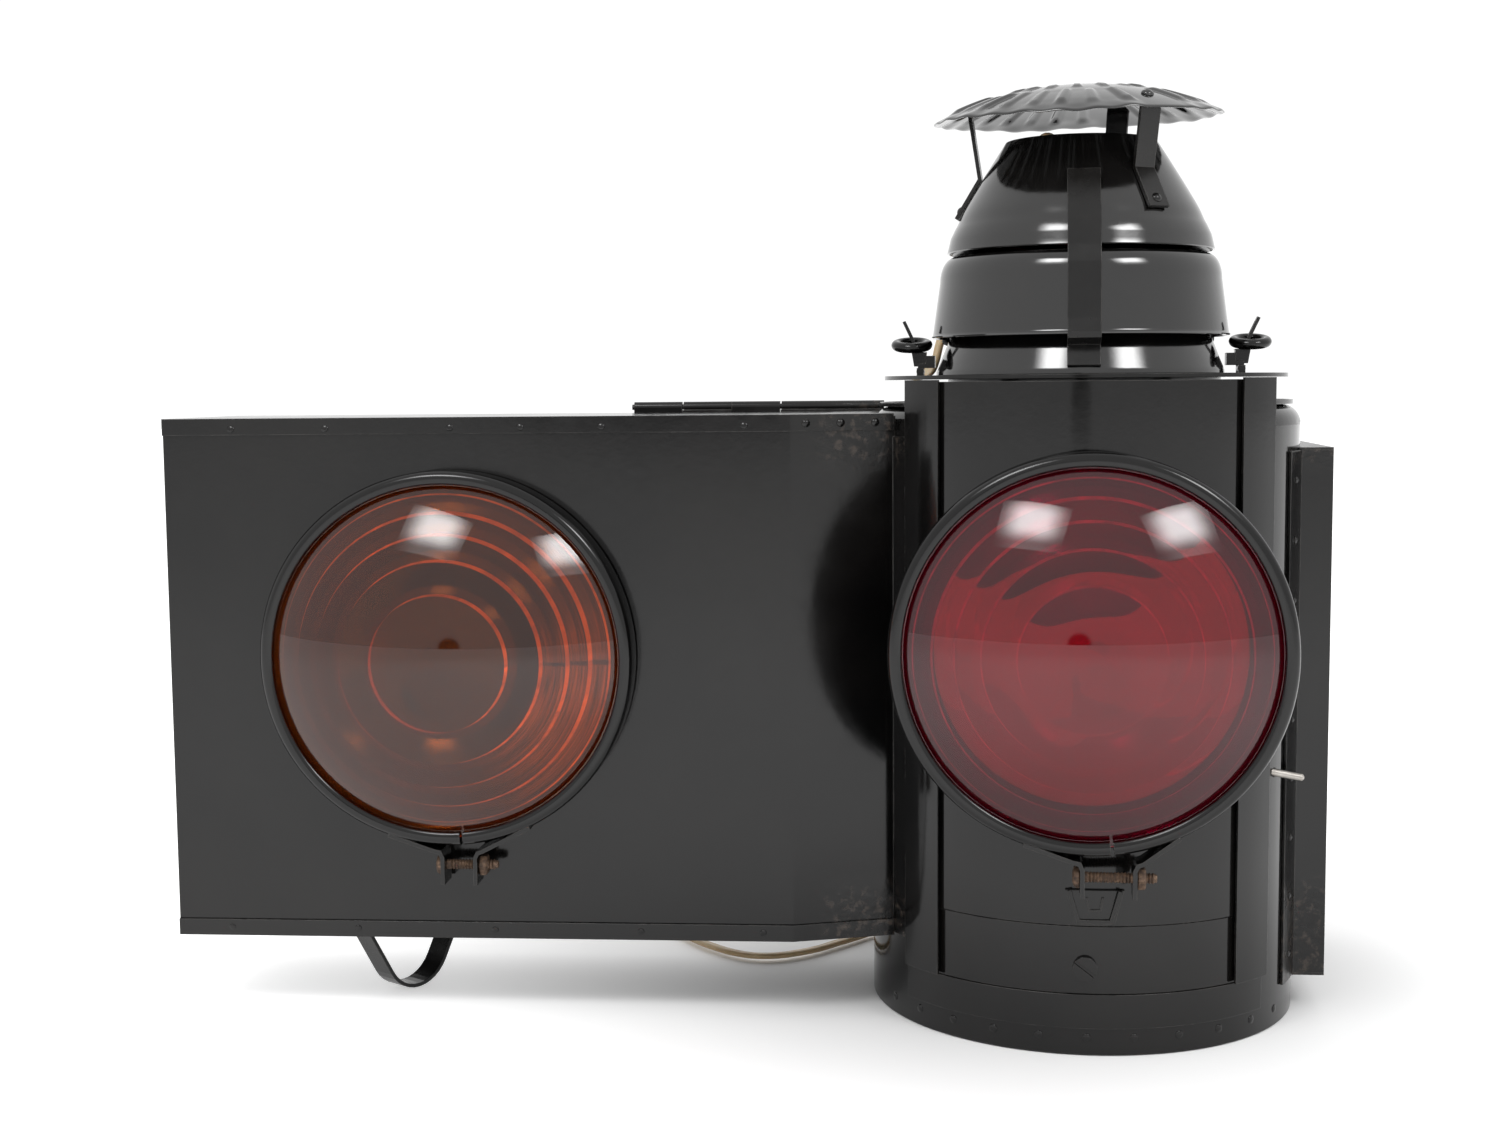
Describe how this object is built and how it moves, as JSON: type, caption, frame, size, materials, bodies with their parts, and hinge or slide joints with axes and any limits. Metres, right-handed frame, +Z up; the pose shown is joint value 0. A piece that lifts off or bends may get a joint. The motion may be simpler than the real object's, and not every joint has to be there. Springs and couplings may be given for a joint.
{
  "type": "railway signal lamp",
  "caption": "Electric railway signal lamp in black sheet metal, red lens on a sliding door, amber lens on a side wing, vented smoke hood and a flexible lead.",
  "frame": {"origin": "on the round body's axis at the ground it stands on", "axes": "+Z up, red lens faces -Y, the side wing reaches out along -X"},
  "size_m": [0.4661, 0.2612, 0.3733],
  "materials": {
    "painted": "gloss",
    "rusty_steel": "matte",
    "bright_steel": "satin",
    "mirror_sheet": "polished",
    "red_glass": "gloss",
    "amber_glass": "gloss",
    "seal_rubber": "matte",
    "bakelite": "gloss",
    "clear_glass": "gloss",
    "lead_sleeve": "matte",
    "tie_rubber": "matte"
  },
  "bodies": {
    "lamp_body": {"drum_shell": "painted", "drum_lid": "painted", "base_pan": "painted", "base_band": "painted", "guide_left": "painted", "guide_right": "painted", "access_panel": "painted", "access_screw": "painted", "wing_front": "painted", "wing_top": "painted", "wing_bottom": "painted", "wing_back": "painted", "amber_collar": "painted", "amber_band": "painted", "strap_loop": "painted", "rear_hood": "painted", "rear_hood_caps": "painted", "rear_collar": "painted", "rear_band": "painted", "neck_tube": "painted", "flange_plate": "painted", "vent_skirt": "painted", "vent_bowl": "painted", "vent_cone": "painted", "vent_straps": "painted", "smoke_cap": "painted", "cap_straps": "painted", "rivets": "painted", "clamp_bolts": "rusty_steel", "clamp_nuts": "rusty_steel", "wing_hinge_rod": "bright_steel", "catch_pins": "bright_steel", "socket_bridge": "bright_steel", "wing_mirror": "mirror_sheet", "rear_lens": "red_glass", "amber_lens": "amber_glass", "amber_gasket": "seal_rubber", "rear_gasket": "seal_rubber", "main_socket": "bakelite", "main_bulb": "clear_glass", "cord": "lead_sleeve", "cord_coil": "lead_sleeve", "plug": "lead_sleeve", "cord_tie": "tie_rubber"},
    "lens_door": {"door_panel": "painted", "door_tab": "painted", "red_collar": "painted", "red_gasket": "seal_rubber", "red_lens": "red_glass", "red_band": "painted", "red_bolt": "rusty_steel", "red_nut": "rusty_steel"},
    "rear_cover": {"wing_door": "painted"},
    "pin": {"lock_pin": "bright_steel"},
    "catch_l": {"left_catch": "painted"},
    "catch_r": {"right_catch": "painted"},
    "ring_l": {"left_ring": "painted"},
    "ring_r": {"right_ring": "painted"}
  },
  "joints": [
    {"name": "lens_door_slide", "type": "slide", "parent": "lamp_body", "child": "lens_door", "axis": [0, 0, 1], "range_m": [0, 0.15]},
    {"name": "rear_cover_hinge", "type": "hinge", "parent": "lamp_body", "child": "rear_cover", "pos_m": [-0.13966, 0.03254, 0.2439], "axis": [0.9981, 0.061, 0], "range_deg": [0, 100]},
    {"name": "lock_pin_slide", "type": "slide", "parent": "lamp_body", "child": "pin", "axis": [0.9848, 0, -0.1736], "range_m": [0, 0.008]},
    {"name": "left_catch_hinge", "type": "hinge", "parent": "lamp_body", "child": "catch_l", "pos_m": [-0.0663, 0, 0.2581], "axis": [0, -1, 0], "range_deg": [0, 25]},
    {"name": "right_catch_hinge", "type": "hinge", "parent": "lamp_body", "child": "catch_r", "pos_m": [0.0629, 0, 0.2581], "axis": [0, 1, 0], "range_deg": [0, 25]},
    {"name": "left_ring_tip", "type": "hinge", "parent": "catch_l", "child": "ring_l", "pos_m": [-0.0699, 0, 0.269], "axis": [0, -1, 0], "range_deg": [0, 40]},
    {"name": "right_ring_tip", "type": "hinge", "parent": "catch_r", "child": "ring_r", "pos_m": [0.0665, 0, 0.269], "axis": [0, 1, 0], "range_deg": [0, 40]}
  ]
}
